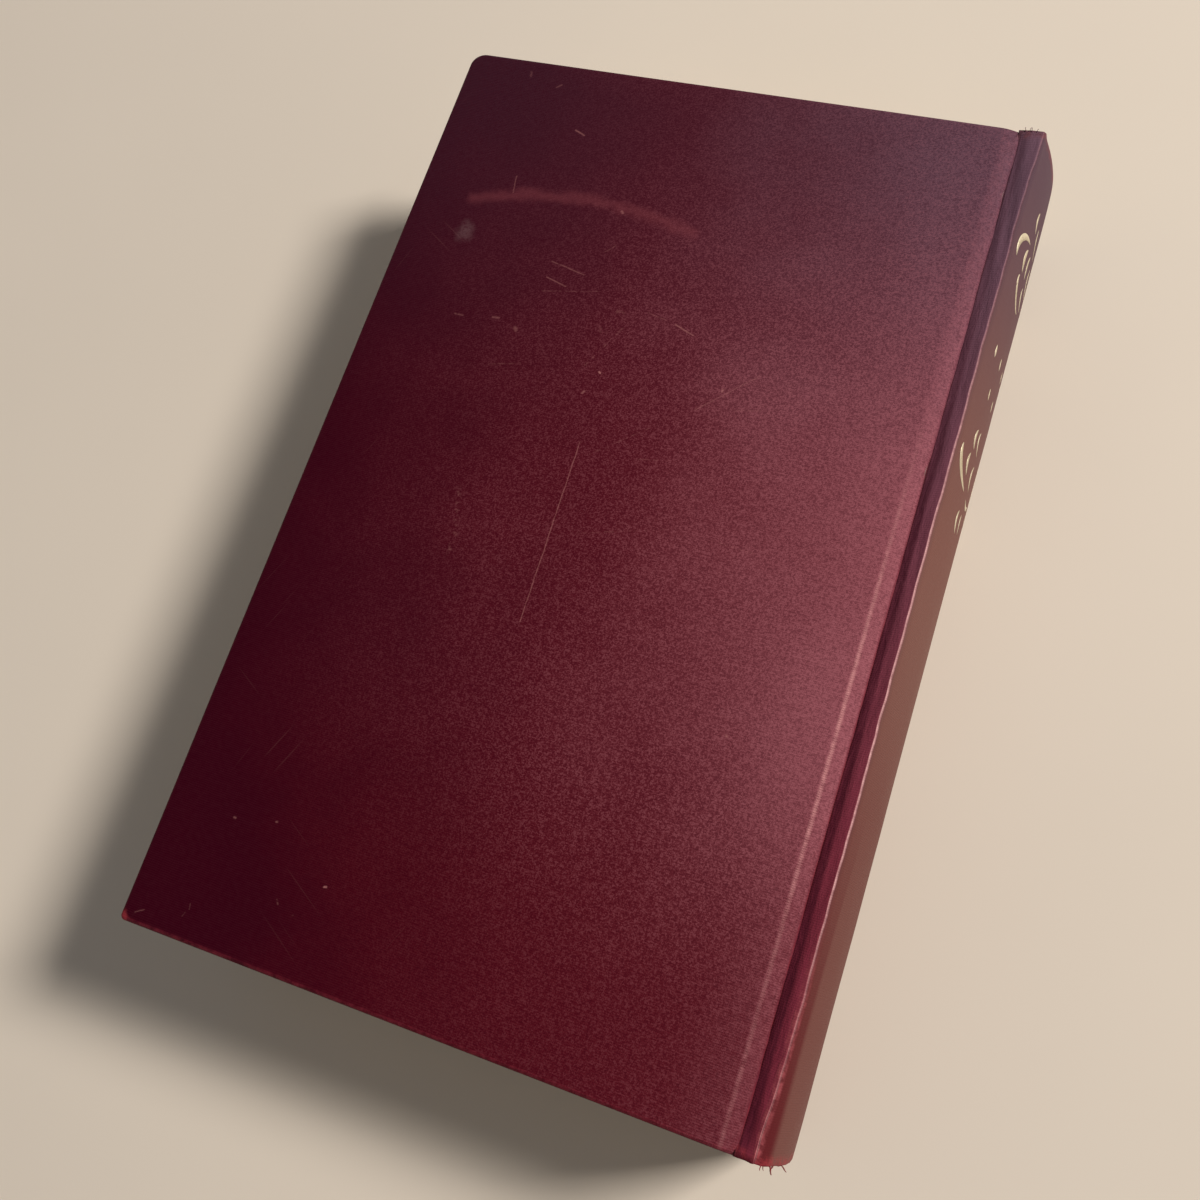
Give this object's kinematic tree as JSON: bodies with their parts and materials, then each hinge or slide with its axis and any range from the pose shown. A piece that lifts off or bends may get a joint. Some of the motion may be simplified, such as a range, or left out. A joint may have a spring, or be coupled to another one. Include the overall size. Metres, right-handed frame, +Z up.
{
  "type": "hardback book",
  "caption": "Closed hardback book in worn maroon cloth with a rounded back, French grooves and gilt ornament on the spine; both covers open.",
  "frame": {"origin": "middle of the book's outline on the ground, lying closed on its front cover", "axes": "+X from the fore edge to the spine, +Y from tail to head, +Z up through the back cover"},
  "size_m": [0.1403, 0.216, 0.044],
  "materials": {
    "leaves": "uncoated, toned with age",
    "endpaper": "uncoated",
    "mull": "open starched gauze",
    "kraft": "matte",
    "band": "striped cotton",
    "board": "solid greyboard",
    "inlay": "thin card",
    "book_cloth": "maroon book cloth, fine rib, worn and scuffed, low sheen",
    "gilt_foil": "stamped pale gold foil, worn"
  },
  "bodies": {
    "book_block": {"text_block": "leaves", "front_flyleaf": "endpaper", "back_flyleaf": "endpaper", "spine_mull": "mull", "spine_lining": "kraft", "head_band": "band", "tail_band": "band", "spine_inlay": "inlay", "spine_cloth": "book_cloth", "front_joint_cloth": "book_cloth", "back_joint_cloth": "book_cloth", "spine_gilding": "gilt_foil"},
    "front_cover": {"front_board": "board", "front_cover_cloth": "book_cloth", "front_pastedown": "endpaper", "front_mull_flange": "mull"},
    "back_cover": {"back_board": "board", "back_cover_cloth": "book_cloth", "back_pastedown": "endpaper", "back_mull_flange": "mull"}
  },
  "joints": [
    {"name": "front_cover_hinge", "type": "hinge", "parent": "book_block", "child": "front_cover", "pos_m": [0.06485, 0, 0.00355], "axis": [0, -1, 0], "range_deg": [0, 180], "deforming": ["front_joint_cloth"]},
    {"name": "back_cover_hinge", "type": "hinge", "parent": "book_block", "child": "back_cover", "pos_m": [0.06485, 0, 0.04045], "axis": [0, 1, 0], "range_deg": [0, 180], "deforming": ["back_joint_cloth"]}
  ]
}
